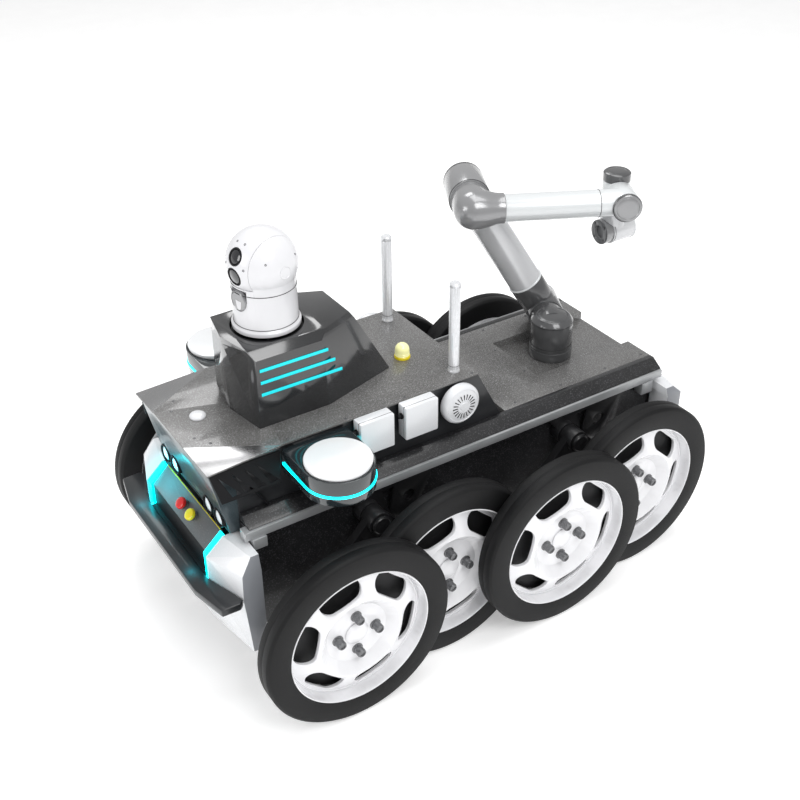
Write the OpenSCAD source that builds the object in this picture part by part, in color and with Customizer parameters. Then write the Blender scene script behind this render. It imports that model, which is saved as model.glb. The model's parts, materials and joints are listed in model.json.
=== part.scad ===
// Eight-wheel inspection robot with a ball camera, side scanners and a six-joint arm.
// Millimetres. +X forward, +Y to the robot's left, +Z up. The origin is on the floor,
// at the middle of the robot's length and width.

/* [Wheels] */
// Outer diameter of a tyre
wheel_d = 450; // [440:1:452]
// Width of a tyre
tyre_w = 50; // [44:1:50]
// Radius where the tyre sits on the rim
rim_r = 169; // [165:1:172]
// Distance between neighbouring axles
wheel_pitch = 280; // [278:1:284]
// Centre plane of an outboard wheel, from the robot's centre
outboard_y = 392; // [390:1:396]
// Centre plane of an inboard wheel, from the robot's centre
inboard_y = 331; // [329:1:332]
// Number of windows in a rim
windows = 6; // [5:1:6]

/* [Suspension] */
// Height of a rocker's pivot above the floor
pivot_z = 375; // [370:1:378]
// Radius of the pivot shaft
pivot_r = 20; // [18:1:21]
// Radius of a wheel spindle
spindle_r = 20; // [18:1:22]

/* [Hull] */
// Half width of the hull
hull_half_w = 196; // [190:1:196]
// Underside of the hull above the floor
hull_bottom = 156; // [140:1:170]
// Top of the hull's side plates
hull_top = 442; // [442:1:442]
// Thickness of the hull's plates
plate_t = 4; // [3:0.5:5]

/* [Decks] */
// Top of the arm deck
deck_z = 466; // [466:1:466]
// Top of the hood
hood_z = 604; // [604:1:604]
// Half width of the well that the arm stands in
well_half_w = 92; // [88:1:96]
// Floor of the arm well
well_z = 446; // [446:1:446]

/* [Camera] */
// Radius of the camera ball
ball_r = 76; // [74:0.5:77]
// Height of the ball's centre
ball_z = 929; // [925:1:935]
// Direction the camera looks in, to the left of straight ahead
camera_yaw = 12; // [0:1:20]

/* [Arm] */
// Direction the arm is swung to, to the right of straight ahead
arm_yaw = 27; // [20:1:35]
// Height of the shoulder's tilt axis
shoulder_z = 517; // [515:1:525]
// Length of the upper arm between its axes
upper_len = 400; // [380:5:420]
// Slope of the upper arm above the horizontal
upper_slope = 58.5; // [50:0.5:65]
// Length of the forearm between its axes
forearm_len = 362; // [340:2:380]
// Sideways step from the shoulder to the upper arm
shoulder_step = 110; // [108:1:114]
// Sideways step from the upper arm back to the forearm
elbow_step = 115; // [113:1:118]
// Turn of the tool about the wrist's upright axis
tool_yaw = 25; // [0:5:90]
// Bolt circle of the tool flange
tool_pcd = 50; // [48:1:50]
// Radius of a tool flange bolt hole
tool_hole_r = 3; // [2.5:0.25:3.25]

/* [Hidden] */
$fn = 96;
e = 0.2;                        // gap between neighbouring pieces
wheel_r = wheel_d / 2;
lead = 21.5;                    // the middle of the axles is this far behind the middle
front_x = 565;                  // front wall of the hull
rear_x = -588;                  // rear end of the decks
lamp_z = 445;
lamp_ys = [86, 139];
camera_x = 385;
arm_x = -406;
elbow_x = upper_len * cos(upper_slope);
elbow_z = shoulder_z + upper_len * sin(upper_slope);
wrist_x = elbow_x - forearm_len;
forearm_y = elbow_step - shoulder_step;
wrist1_y = forearm_y - 75;
tool_z = elbow_z - 104;
pod_pos = [383, 282];
pod_r = 77;
panel_top = [597, 412];         // slope of the button panel, in x and z
panel_low = [638, 372];
panel_tilt = atan2(panel_top[1] - panel_low[1], panel_low[0] - panel_top[0]);
button_pos = [617.5, 392];
red_y = -6;
yellow_y = 42;

// ---- helpers ----
// The pieces are drawn from the middle of the axles, then moved to the origin.
module placed() {
  translate([-lead, 0, 0]) children();
}
module both_sides() {
  children();
  mirror([0, 1, 0]) children();
}
// Extrudes an outline drawn in x and z across the width, centred on the middle.
module across(w) {
  translate([0, w / 2, 0]) rotate([90, 0, 0]) linear_extrude(w) children();
}
// A bar along Y from y0 to y1.
module y_rod(r, y0, y1) {
  translate([0, y0, 0]) rotate([-90, 0, 0]) cylinder(r = r, h = y1 - y0);
}
// A bar along X from x0 to x1.
module x_rod(r, x0, x1) {
  translate([x0, 0, 0]) rotate([0, 90, 0]) cylinder(r = r, h = x1 - x0);
}
function axle_x(i) = wheel_pitch * (2.5 - i);
function is_outboard(i) = i == 1 || i == 3;
function wheel_y(i) = is_outboard(i) ? outboard_y : inboard_y;
module at_wheel(i) {
  translate([axle_x(i), wheel_y(i), wheel_r]) rotate([-90, 0, 0]) children();
}

// ---- hull ----
module hull_tub() {
  length = front_x - rear_x - 13;
  color("dimgray") difference() {
    translate([rear_x + 13, -hull_half_w, hull_bottom])
      cube([length, 2 * hull_half_w, hull_top - hull_bottom]);
    translate([rear_x + 13 + plate_t, -hull_half_w + plate_t, hull_bottom + plate_t])
      cube([length - 2 * plate_t, 2 * (hull_half_w - plate_t), hull_top]);
  }
}
module side_rails() {
  color("silver") both_sides() {
    translate([rear_x, hull_half_w + e, 425]) cube([1166, 26 - e, 21]);
    translate([530, hull_half_w + e, 398]) cube([32, 30, 26.8]);
    translate([-560, hull_half_w + e, 392]) cube([36, 26, 32.8]);
  }
}
module sill_panels() {
  color("dimgray") both_sides()
    translate([rear_x, 0, 0]) rotate([90, 0, 90])
      linear_extrude(front_x - rear_x)
        polygon([[174 + e, deck_z], [187, deck_z], [216, 447.5], [216, 446.2],
                 [174 + e, 446.2]]);
}
module arm_deck() {
  x1 = -129;
  well_x = -291;
  color("dimgray") difference() {
    translate([rear_x, -174, hull_top + e]) cube([x1 - rear_x, 348, deck_z - hull_top - e]);
    translate([rear_x - 1, -well_half_w, well_z])
      cube([well_x - rear_x + 1, 2 * well_half_w, 40]);
    for (s = [-1, 1])
      translate([rear_x + plate_t, s * 133 - 36, hull_top])
        cube([x1 - rear_x - 2 * plate_t, 72, 18]);
    translate([well_x + plate_t, -well_half_w, hull_top])
      cube([x1 - well_x - 2 * plate_t, 2 * well_half_w, 18]);
  }
}
module upper_body() {
  outer = [[-128, hull_top + e], [-45, 599.8], [front_x + 1, 599.8],
           [front_x + 1, hull_top + e]];
  inner = [[-120, hull_top], [-39, 595.8], [front_x + 2, 595.8], [front_x + 2, hull_top]];
  color("#202224") difference() {
    across(348) polygon(outer);
    across(340) polygon(inner);
    translate([camera_x, 0, 590]) cylinder(r = 60, h = 20);
    both_sides() translate([0, 0, -e]) hood_corner(1.5, 30);
  }
}
module hood_deck() {
  color("#5a5c5e") {
    difference() {
      translate([0, 0, hood_z - 4])
        linear_extrude(4)
          polygon([[634, -78], [634, 78], [459, 181], [-43, 181], [-43, -181], [459, -181]]);
      translate([camera_x, 0, 590]) cylinder(r = 60, h = 20);
    }
    both_sides() hood_corner(1, 4);
  }
}
module hood_corner(r, h) {
  hull() {
    translate([633, 79, hood_z - 4]) cylinder(r = r, h = h, $fn = 12);
    translate([460, 181, hood_z - 4]) cylinder(r = r, h = h, $fn = 12);
    translate([631, 184, hood_z - 13]) cylinder(r = r, h = h, $fn = 12);
  }
}
// Sloped cover under the hood's front corner, with four wedge-shaped slots.
module vent_panels() {
  tilt = atan2(63, 24);
  color("#2c2e30") both_sides() {
    translate([0, 177, 588]) rotate([-tilt, 0, 0]) translate([0, 0, -3])
      linear_extrude(3) difference() {
        polygon([[625, 0], [612, 67], [476, 67], [462, 0]]);
        for (i = [0:3])
          translate([-29 * i, 0])
            polygon([[606, 12], [586, 60], [566, 59]]);
      }
    translate([500, 174 + e, 470]) rotate([0, 32, 0]) cube([5, 12, 62]);
  }
}
module front_fascia() {
  color("lightslategray") difference() {
    across(344) polygon([[front_x + 1.2, 420], [589, 420], [626, 590], [front_x + 1.2, 590]]);
    for (s = [-1, 1], y = lamp_ys)
      translate([578, s * y, lamp_z]) x_rod(23, 0, 60);
    translate([front_x, -150, 474]) cube([20, 300, 108]);
  }
}
module headlights() {
  color("white") for (s = [-1, 1], y = lamp_ys)
    translate([578 + e, s * y, lamp_z]) difference() {
      x_rod(23 - e, 0, 12);
      x_rod(19, 8, 13);
    }
}

// ---- front and rear ends ----
// One level of the bumper's skin: x in the middle, x at the ends, half width.
module bumper_level(z, mid_x, mid_w, end_x, half_w, back_x) {
  translate([0, 0, z]) linear_extrude(0.5)
    polygon([[back_x, -half_w], [end_x, -half_w], [mid_x, -mid_w],
             [mid_x, mid_w], [end_x, half_w], [back_x, half_w]]);
}
module bumper_skin(back_x) {
  hull() {
    bumper_level(411, 603, 160, 585, 254, back_x);
    bumper_level(373, 646, 160, 611, 262, back_x);
  }
  hull() {
    bumper_level(373, 646, 160, 611, 262, back_x);
    bumper_level(308, 646, 160, 613, 262, back_x);
  }
  hull() {
    bumper_level(308, 646, 160, 613, 262, back_x);
    bumper_level(156, 626, 110, 601, 262, back_x);
  }
}
module front_bumper() {
  color("white") difference() {
    bumper_skin(front_x + 1.2);
    translate([front_x, -246, 164]) cube([32, 492, 226]);
    across(320.4) polygon([[575, 430], [700, 430], [700, 305.8], [608, 305.8],
                           [608, 358], [575, 392]]);
  }
}
module button_panel() {
  c = 5 * [-sin(panel_tilt), -cos(panel_tilt)];
  color("gray") difference() {
    union() {
      across(281.6) polygon([panel_top, panel_low, panel_low + c, panel_top + c]);
      for (y = [red_y, yellow_y]) at_button(y) cylinder(r = 12, h = 3);
    }
    for (y = [red_y, yellow_y]) at_button(y) cylinder(r = 7.05, h = 40, center = true);
  }
}
module at_button(y) {
  translate([button_pos[0], y, button_pos[1]]) rotate([0, panel_tilt, 0]) children();
}
module grille_bar() {
  color("#111111") {
    across(281.6) polygon([[638, 371.4], [638, 317], [648.3, 317], [648.3, 306], [632, 306],
                           [632, 365.5], [634.6, 368]]);
    translate([front_x + 1.2, -163, 412.2]) cube([18, 326, 7.4]);
  }
}
module bumper_lip() {
  color("#3a3c3e") translate([0, 0, 300]) linear_extrude(18)
    polygon([[648.5, 161], [615.5, 264], [626, 274], [668, 272], [688, 181],
             [688, -181], [668, -272], [626, -274], [615.5, -264], [648.5, -161]]);
}
module push_button(c) {
  color(c) {
    translate([0, 0, 9]) rotate_extrude()
      polygon([[0, 0], [14, 0], [14, 5], [12, 8], [0, 9]]);
    translate([0, 0, -14]) cylinder(r = 7, h = 23);
  }
}
module red_button() { at_button(red_y) push_button("red"); }
module yellow_button() { at_button(yellow_y) push_button("yellow"); }
module rear_bumper() {
  back = rear_x + 12;
  color("whitesmoke") difference() {
    union() {
      hull() {
        bumper_level(411, -618, 160, -600, 254, back);
        bumper_level(390, -635, 230, -622, 262, back);
      }
      hull() {
        bumper_level(390, -635, 230, -622, 262, back);
        bumper_level(156, -635, 150, -616, 262, back);
      }
    }
    translate([-618, -200, 168]) cube([50, 400, 218]);
    translate([-640, -150, 220]) cube([40, 300, 140]);
  }
}
module rear_panel() {
  color("#1a1a1c") {
    difference() {
      translate([-630, -149.8, 220.2]) cube([5, 299.6, 139.6]);
      translate([-640, 0, 290]) x_rod(22, 0, 30);
    }
    translate([-633, -130, 232]) cube([2.8, 40, 16]);
    translate([-633, 90, 232]) cube([2.8, 40, 16]);
  }
}

// ---- turret and camera ----
module turret_level(z, nose, front, mid, tail) {
  translate([0, 0, z]) linear_extrude(0.5)
    polygon([[nose, 0], front, mid, tail, [tail[0], -tail[1]],
             [mid[0], -mid[1]], [front[0], -front[1]]]);
}
module turret_shape(z0, t) {
  hull() {
    turret_level(z0, 489 - t, [470 - t, 106 - t], [300, 106 - t], [112 + 2 * t, 49 - t]);
    turret_level(768 - t, 492 - t, [467 - t, 106 - t], [312, 106 - t], [205 + t, 60 - t]);
  }
  hull() {
    turret_level(768 - t, 492 - t, [467 - t, 106 - t], [312, 106 - t], [205 + t, 60 - t]);
    turret_level(785.5 - t, 495 - t, [476 - t, 88 - t], [292, 91 - t], [217 + t, 57 - t]);
  }
}
module turret_housing() {
  color("#3c3e41") difference() {
    turret_shape(hood_z + e, 0);
    turret_shape(hood_z - 6, 5);
    translate([camera_x, 0, 760]) cylinder(r = 79, h = 40);
  }
}
module camera_mount() {
  color("black") translate([camera_x, 0, 0]) {
    translate([0, 0, hood_z + e]) cylinder(r = 58, h = 770 - hood_z);
    translate([0, 0, 770 + 2 * e]) cylinder(r = 76, h = 6);
    translate([0, 0, 776]) cylinder(r = 30, h = 20);
  }
}
module at_camera() {
  translate([camera_x, 0, ball_z]) rotate([0, 0, camera_yaw]) children();
}
module camera_yoke() {
  slab = 75;
  color("white") at_camera() difference() {
    union() {
      translate([0, 0, 789 - ball_z]) rotate_extrude()
        polygon([[0, 0], [74, 0], [74, 8], [69, 13], [69, 110], [0, 110]]);
      sphere(r = ball_r, $fn = 120);
    }
    intersection() {
      sphere(r = ball_r + 1.5, $fn = 120);
      cube([300, slab, 300], center = true);
    }
    rotate([90, 0, 0]) cylinder(r = 8.05, h = 104, center = true);
    translate([0, 0, 788 - ball_z]) cylinder(r = 30.05, h = 9);
    translate([50, -24, -66]) cube([40, 48, 28]);
  }
}
// Lens directions: tilt above the horizontal and radius.
lens_set = [[27, 19.5], [-7, 20.5]];
lens_seat = 70.5;               // distance of the lens seats from the ball's centre
module camera_head() {
  color("white") at_camera() difference() {
    union() {
      intersection() {
        rotate([90, 0, 180]) sphere(r = ball_r, $fn = 120);
        cube([300, 73.6, 300], center = true);
      }
      rotate([90, 0, 0]) cylinder(r = 8, h = 100, center = true);
    }
    for (l = lens_set)
      rotate([0, 90 - l[0], 0]) translate([0, 0, lens_seat]) cylinder(r = l[1], h = 30);
  }
}
module camera_lenses() {
  color("#181a20") at_camera() for (l = lens_set)
    rotate([0, 90 - l[0], 0]) translate([0, 0, lens_seat + e]) {
      cylinder(r = l[1] - 4, h = 4);
      cylinder(r = l[1] - e, h = 2);
    }
}

// ---- things on the hood and sides ----
module pod_outline(grow) {
  translate(pod_pos) circle(r = pod_r + grow);
  translate([pod_pos[0] - pod_r - grow, 181 + 2 * e])
    square([2 * (pod_r + grow), pod_pos[1] - 181 - 2 * e]);
}
module scanner_housings() {
  color("#2a3436") both_sides() difference() {
    union() {
      translate([0, 0, 535]) linear_extrude(58) pod_outline(0);
      translate([330, 174 + e, 536]) cube([100, 12, 54]);
    }
    translate([pod_pos[0], pod_pos[1], 541]) cylinder(r = 72.3, h = 60);
  }
}
module scanner_caps() {
  color("silver") both_sides()
    translate([pod_pos[0], pod_pos[1], 541 + e]) rotate_extrude()
      polygon([[0, 0], [72, 0], [72, 58], [68, 62], [0, 62]]);
}
module light_strips() {
  color("cyan") {
    both_sides() {
      translate([0, 0, 554]) linear_extrude(6) difference() {
        pod_outline(1.4);
        pod_outline(e);
      }
      for (i = [0:2])
        translate([299 - 16 * i, 106 + e, 740 - 29 * i]) cube([161 + 16 * i, 2, 7]);
      translate([0, 141 + e + 9.3, 0]) across(18.6)
        polygon([[600, 412], [643, 373], [643, 306], [634, 306], [634, 369], [596, 406]]);
    }
  }
}
module side_radios() {
  color("white") both_sides() for (x = [89, 203]) {
    translate([x, 181 + 2 * e, 521]) cube([85, 33, 83]);
    translate([x + 14, 174 + e, 530]) cube([57, 7 + e, 62]);
    translate([x + 30, 190, 505]) cylinder(r = 3, h = 15.8);
  }
}
module speakers() {
  color("whitesmoke") both_sides()
    translate([17, 0, 552]) {
      translate([0, 181 + 2 * e, 0]) rotate([-90, 0, 0]) rotate_extrude()
        polygon([[0, 0], [44, 0], [49, 7], [49, 19], [44, 25], [27, 30], [0, 32]]);
      y_rod(30, 174 + e, 181 + 2 * e);
    }
}
module position_cap() {
  color("white") translate([560, -11, hood_z + e]) rotate_extrude()
    polygon([[0, 0], [18, 0], [18, 4], [15, 7], [0, 8]]);
}
module beacon() {
  color("yellow") translate([62, 26, hood_z + e]) {
    cylinder(r = 19, h = 6);
    translate([0, 0, 6]) cylinder(r = 17, h = 14);
    translate([0, 0, 20]) difference() {
      sphere(r = 17);
      translate([0, 0, -20]) cube([60, 60, 40], center = true);
    }
  }
}
module antennas() {
  color("silver") both_sides() translate([-3, 140, hood_z + e]) rotate_extrude()
    polygon([[0, 0], [14, 0], [14, 4], [12.5, 7], [12.5, 222], [10, 224], [0, 224]]);
}

// ---- inside the hull ----
module battery_pack() {
  color("steelblue") translate([-130, -150, hull_bottom + plate_t + e]) cube([420, 300, 150]);
}
module control_box() {
  color("darkslategray") translate([-520, -140, hull_bottom + plate_t + e])
    cube([300, 280, 120]);
}

// ---- suspension ----
module pivot_brackets() {
  color("#303234") both_sides() for (x = [-wheel_pitch, wheel_pitch]) translate([x, 0, pivot_z]) {
    y_rod(pivot_r, hull_half_w + e, 275);
    y_rod(pivot_r + 2.5, 275, 280);
    translate([0, 214, 0]) rotate([90, 0, 0]) linear_extrude(6) difference() {
      polygon([[48, 45], [-46, -68], [-122, -68], [-176, 45]]);
      polygon([[-40, 34], [-72, 34], [-60, -30]]);
      translate([-112, -6]) circle(r = 16);
      circle(r = pivot_r - 2);
    }
    difference() {
      y_rod(28, hull_half_w + e, 229);
      y_rod(pivot_r - 2, hull_half_w, 230);
    }
  }
}
// A rocker carries one outboard and one inboard wheel of its pair.
module rocker(out_i, in_i) {
  px = (axle_x(out_i) + axle_x(in_i)) / 2;
  color("#2a2c2e") difference() {
    union() {
      translate([0, 262, 0]) rotate([90, 0, 0]) linear_extrude(20)
        for (i = [out_i, in_i]) rocker_beam(px, axle_x(i));
      translate([px, 0, pivot_z]) y_rod(27, 232, 272);
      for (i = [out_i, in_i]) translate([axle_x(i), 0, wheel_r]) {
        y_rod(48, 238, 300);
        y_rod(spindle_r, 299, wheel_y(i) - 6);
      }
      translate([axle_x(out_i), 0, wheel_r]) y_rod(28, 299, outboard_y - 31);
    }
    translate([px, 0, pivot_z]) y_rod(pivot_r + 0.05, 200, 300);
  }
}
module rocker_beam(x0, x1) {
  dx = x1 - x0;
  dz = wheel_r - pivot_z;
  translate([x0, pivot_z]) rotate(atan2(dz, dx))
    translate([0, -25]) square([norm([dx, dz]), 50]);
}

// ---- wheels, drawn with the outer face towards +Z ----
module tyre(i) {
  h = tyre_w / 2;
  color("#1c1c1d") at_wheel(i) rotate_extrude($fn = 180)
    polygon([[rim_r, -h], [wheel_r - 6, -h], [wheel_r, -h + 6], [wheel_r, h - 6],
             [wheel_r - 6, h], [rim_r, h]]);
}
module rim(i) {
  h = tyre_w / 2;
  color("whitesmoke") at_wheel(i) difference() {
    union() {
      rotate_extrude($fn = 180)
        polygon([[rim_r, -h], [rim_r, h - 1], [166, h - 1], [163, -5], [155, -5], [98, 24],
                 [74, 2], [0, 2], [0, -22], [36, -22], [36, -4], [72, -4], [95, 17],
                 [152, -12], [152, -16], [158, -h]]);
      for (k = [0:3]) rotate(90 * k) translate([46.5, 0, 0]) cylinder(r = 9, h = 22);
    }
    translate([0, 0, -23]) cylinder(r = spindle_r + 0.05, h = 19);
    for (k = [0:windows - 1]) rotate(-13 - 60 * k) translate([126, 0, 0]) window_cut();
  }
}
module window_cut() {
  translate([-22, -28, -15]) cube([44, 56, 45]);
  for (y = [-28, 28]) translate([0, y, -15]) cylinder(r = 22, h = 45);
}

// ---- arm, drawn swung to its resting direction ----
module at_arm() {
  translate([arm_x, 0, 0]) rotate([0, 0, -arm_yaw]) children();
}
// Turns a child so that +Z runs up the upper arm.
module along_upper(y) {
  translate([0, y, shoulder_z]) rotate([0, 90 - upper_slope, 0]) children();
}
module arm_base() {
  color("#4a4c4e") at_arm() translate([0, 0, well_z + e]) cylinder(r = 55, h = 25);
}
module arm_shoulder() {
  color("#4a4c4e") at_arm() {
    translate([0, 0, well_z + 25.6]) rotate_extrude()
      polygon([[0, 0], [53, 0], [53, 73.4], [46, 83.4], [0, 83.4]]);
    translate([0, 0, shoulder_z]) y_rod(45, -shoulder_step / 2 - 4, 0);
  }
}
module upper_arm() {
  far = -shoulder_step;
  color("silver") at_arm() {
    translate([0, 0, shoulder_z]) y_rod(46, far - 50, far + 50);
    along_upper(far) {
      cylinder(r = 44, h = 96);
      cylinder(r = 43, h = upper_len);
    }
    translate([elbow_x, 0, elbow_z]) y_rod(50, far - 58, far + 57);
  }
}
module forearm() {
  color("gainsboro") at_arm() {
    translate([elbow_x, 0, elbow_z]) {
      y_rod(48, -shoulder_step + 58, forearm_y);
      translate([0, forearm_y, 0]) {
        sphere(r = 48);
        x_rod(36, -72, 0);
        x_rod(33, -forearm_len, 0);
      }
    }
    translate([wrist_x, 0, elbow_z]) y_rod(35, forearm_y - 39, forearm_y + 39);
  }
}
module wrist_housing() {
  color("gray") at_arm() translate([wrist_x, 0, elbow_z]) {
    y_rod(33, wrist1_y, forearm_y - 40);
    translate([0, wrist1_y, -38]) cylinder(r = 33, h = 84);
  }
}
module tool_wrist() {
  color("gray") at_arm() translate([wrist_x, wrist1_y, tool_z]) rotate([0, 0, tool_yaw]) {
    difference() {
      cylinder(r = 31, h = 65);
      x_rod(31.6, 18, 40);
    }
    x_rod(33, -50, 18);
  }
}
module tool_flange() {
  color("silver") at_arm() translate([wrist_x, wrist1_y, tool_z]) rotate([0, 0, tool_yaw])
    difference() {
      x_rod(31, 18 + e, 40);
      x_rod(15.75, 34, 41);
      for (k = [0:3]) rotate([45 + 90 * k, 0, 0]) translate([0, tool_pcd / 2, 0])
        x_rod(tool_hole_r, 28, 41);
    }
}

placed() hull_tub();
placed() side_rails();
placed() sill_panels();
placed() arm_deck();
placed() upper_body();
placed() hood_deck();
placed() vent_panels();
placed() front_fascia();
placed() headlights();
placed() front_bumper();
placed() button_panel();
placed() grille_bar();
placed() bumper_lip();
placed() red_button();
placed() yellow_button();
placed() turret_housing();
placed() camera_mount();
placed() camera_yoke();
placed() camera_head();
placed() camera_lenses();
placed() scanner_housings();
placed() scanner_caps();
placed() light_strips();
placed() side_radios();
placed() speakers();
placed() position_cap();
placed() beacon();
placed() antennas();
placed() rear_bumper();
placed() rear_panel();
placed() pivot_brackets();
placed() battery_pack();
placed() control_box();
placed() rocker(1, 2);  // rocker_front_left
placed() rocker(3, 4);  // rocker_rear_left
placed() mirror([0, 1, 0]) rocker(1, 2);  // rocker_front_right
placed() mirror([0, 1, 0]) rocker(3, 4);  // rocker_rear_right
placed() tyre(1);  // tyre_left_1
placed() tyre(2);  // tyre_left_2
placed() tyre(3);  // tyre_left_3
placed() tyre(4);  // tyre_left_4
placed() mirror([0, 1, 0]) tyre(1);  // tyre_right_1
placed() mirror([0, 1, 0]) tyre(2);  // tyre_right_2
placed() mirror([0, 1, 0]) tyre(3);  // tyre_right_3
placed() mirror([0, 1, 0]) tyre(4);  // tyre_right_4
placed() rim(1);  // rim_left_1
placed() rim(2);  // rim_left_2
placed() rim(3);  // rim_left_3
placed() rim(4);  // rim_left_4
placed() mirror([0, 1, 0]) rim(1);  // rim_right_1
placed() mirror([0, 1, 0]) rim(2);  // rim_right_2
placed() mirror([0, 1, 0]) rim(3);  // rim_right_3
placed() mirror([0, 1, 0]) rim(4);  // rim_right_4
placed() arm_base();
placed() arm_shoulder();
placed() upper_arm();
placed() forearm();
placed() wrist_housing();
placed() tool_wrist();
placed() tool_flange();
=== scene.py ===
import json
import math

import bmesh
import bpy
from mathutils import Matrix, Vector


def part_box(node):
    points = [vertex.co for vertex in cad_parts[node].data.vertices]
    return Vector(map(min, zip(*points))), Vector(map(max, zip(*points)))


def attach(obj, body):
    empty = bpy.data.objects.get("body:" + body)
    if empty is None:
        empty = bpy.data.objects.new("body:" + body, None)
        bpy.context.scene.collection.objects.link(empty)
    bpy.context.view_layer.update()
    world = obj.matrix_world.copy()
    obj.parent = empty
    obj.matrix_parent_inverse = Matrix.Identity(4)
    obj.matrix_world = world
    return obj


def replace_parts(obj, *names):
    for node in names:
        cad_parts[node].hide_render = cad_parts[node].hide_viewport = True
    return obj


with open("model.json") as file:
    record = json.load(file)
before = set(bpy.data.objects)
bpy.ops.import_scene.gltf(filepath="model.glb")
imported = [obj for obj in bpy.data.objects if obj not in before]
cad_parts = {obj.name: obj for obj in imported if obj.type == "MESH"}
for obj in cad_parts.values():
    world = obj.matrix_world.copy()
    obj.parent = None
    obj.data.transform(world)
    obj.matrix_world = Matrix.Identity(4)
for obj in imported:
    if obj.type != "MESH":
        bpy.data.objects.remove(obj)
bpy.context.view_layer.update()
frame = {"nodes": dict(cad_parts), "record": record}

MM = 0.001
SIDES = (("left", 1), ("right", -1))


# ---- places, repeated from the CAD in millimetres from the middle of the axles ----
def middle(node):
    low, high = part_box(node)
    return (low + high) / 2


MIDDLE_X = (middle("rim_left_1").x + middle("rim_left_4").x) / 2

# Arm: turns, the links' lengths, and each link's sideways step.
ARM_YAW = math.radians(27)
TOOL_YAW = math.radians(25)
UPPER_SLOPE = math.radians(58.5)
ARM_X = -406
SHOULDER_Z = 517
UPPER_LEN = 400
FORE_LEN = 362
UPPER_Y, FORE_Y, WRIST_Y = -110, 5, -70
ELBOW_X = UPPER_LEN * math.cos(UPPER_SLOPE)
ELBOW_Z = SHOULDER_Z + UPPER_LEN * math.sin(UPPER_SLOPE)
WRIST_X = ELBOW_X - FORE_LEN
TOOL_Z = ELBOW_Z - 104

# Camera: the ball's centre and radius, the lenses' seat and half the yoke's slot.
CAMERA_X = 385
CAMERA_YAW = math.radians(12)
BALL_Z = 929
BALL_R = 76
LENS_SEAT = 70.5
SLOT_HALF = 37.1

# Faces that trim stands on.
HOOD_TOP = 604
DECK_TOP = 466
REAR_FACE = -630
PANEL_TILT = math.atan2(40, 41)


def at(x, y, z):
    """A point in the frame's metres, from millimetres off the middle of the axles."""
    return Vector((MIDDLE_X + x * MM, y * MM, z * MM))


def on_arm(x, y, z):
    """A point in the arm's own upright plane: x forward, y sideways."""
    c, s = math.cos(ARM_YAW), math.sin(ARM_YAW)
    return at(ARM_X + c * x + s * y, -s * x + c * y, z)


UP = Vector((0, 0, 1))
AHEAD = Vector((1, 0, 0))
ARM_FWD = Vector((math.cos(ARM_YAW), -math.sin(ARM_YAW), 0))
ARM_SIDE = Vector((math.sin(ARM_YAW), math.cos(ARM_YAW), 0))
TOOL_DIR = ARM_FWD * math.cos(TOOL_YAW) + ARM_SIDE * math.sin(TOOL_YAW)


def camera_dir(elevation, side=0.0):
    """The way out of the camera's ball, in degrees up and sideways."""
    e, s = math.radians(elevation), CAMERA_YAW + math.radians(side)
    return Vector((math.cos(e) * math.cos(s), math.cos(e) * math.sin(s), math.sin(e)))


# ---- materials ----
def material(name, color, rough=0.4, metal=0.0, coat=0.0, vary=0.12, grain=900.0, bump=0.05,
             speck=None, streak=None, glow=0.0, gloss=0.5):
    """A paint, plastic or metal whose colour, roughness and relief vary over the surface."""
    m = bpy.data.materials.new(name)
    m.use_nodes = True
    nodes, links = m.node_tree.nodes, m.node_tree.links
    shader = nodes["Principled BSDF"]
    coords = nodes.new("ShaderNodeTexCoord").outputs["Object"]
    if streak:
        stretch = nodes.new("ShaderNodeMapping")
        stretch.inputs["Scale"].default_value = streak
        links.new(coords, stretch.inputs["Vector"])
        fine_coords = stretch.outputs["Vector"]
    else:
        fine_coords = coords

    def noise(scale, detail, source):
        n = nodes.new("ShaderNodeTexNoise")
        n.inputs["Scale"].default_value = scale
        n.inputs["Detail"].default_value = detail
        links.new(source, n.inputs["Vector"])
        return n.outputs["Fac"]

    def blend(factor, a, b):
        n = nodes.new("ShaderNodeMix")
        n.data_type = "RGBA"
        links.new(factor, n.inputs[0])
        for socket, value in ((n.inputs[6], a), (n.inputs[7], b)):
            if isinstance(value, tuple):
                socket.default_value = (*value, 1)
            else:
                links.new(value, socket)
        return n.outputs[2]

    def ramp(source, low, high):
        n = nodes.new("ShaderNodeMapRange")
        n.inputs["From Min"].default_value = low
        n.inputs["From Max"].default_value = high
        links.new(source, n.inputs["Value"])
        return n.outputs["Result"]

    broad = noise(9.0, 4.0, coords)
    fine = noise(grain, 3.0, fine_coords)
    low = tuple(c * (1 - vary) for c in color)
    high = tuple(min(1.0, c * (1 + vary)) for c in color)
    shade = blend(ramp(broad, 0.35, 0.65), low, high)
    if speck:
        speck_color, speck_scale, edge = speck
        spots = ramp(noise(speck_scale, 6.0, coords), edge, edge + 0.09)
        shade = blend(spots, shade, speck_color)
    links.new(shade, shader.inputs["Base Color"])
    spread = nodes.new("ShaderNodeMapRange")
    spread.inputs["To Min"].default_value = max(0.02, rough * 0.8)
    spread.inputs["To Max"].default_value = min(1.0, rough * 1.25)
    links.new(fine, spread.inputs["Value"])
    links.new(spread.outputs["Result"], shader.inputs["Roughness"])
    relief = nodes.new("ShaderNodeBump")
    relief.inputs["Strength"].default_value = bump
    relief.inputs["Distance"].default_value = 0.0006
    links.new(fine, relief.inputs["Height"])
    links.new(relief.outputs["Normal"], shader.inputs["Normal"])
    shader.inputs["Metallic"].default_value = metal
    shader.inputs["Coat Weight"].default_value = coat
    shader.inputs["Coat Roughness"].default_value = 0.08
    shader.inputs["Specular IOR Level"].default_value = gloss
    if glow:
        links.new(shade, shader.inputs["Emission Color"])
        shader.inputs["Emission Strength"].default_value = glow
    return m


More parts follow.
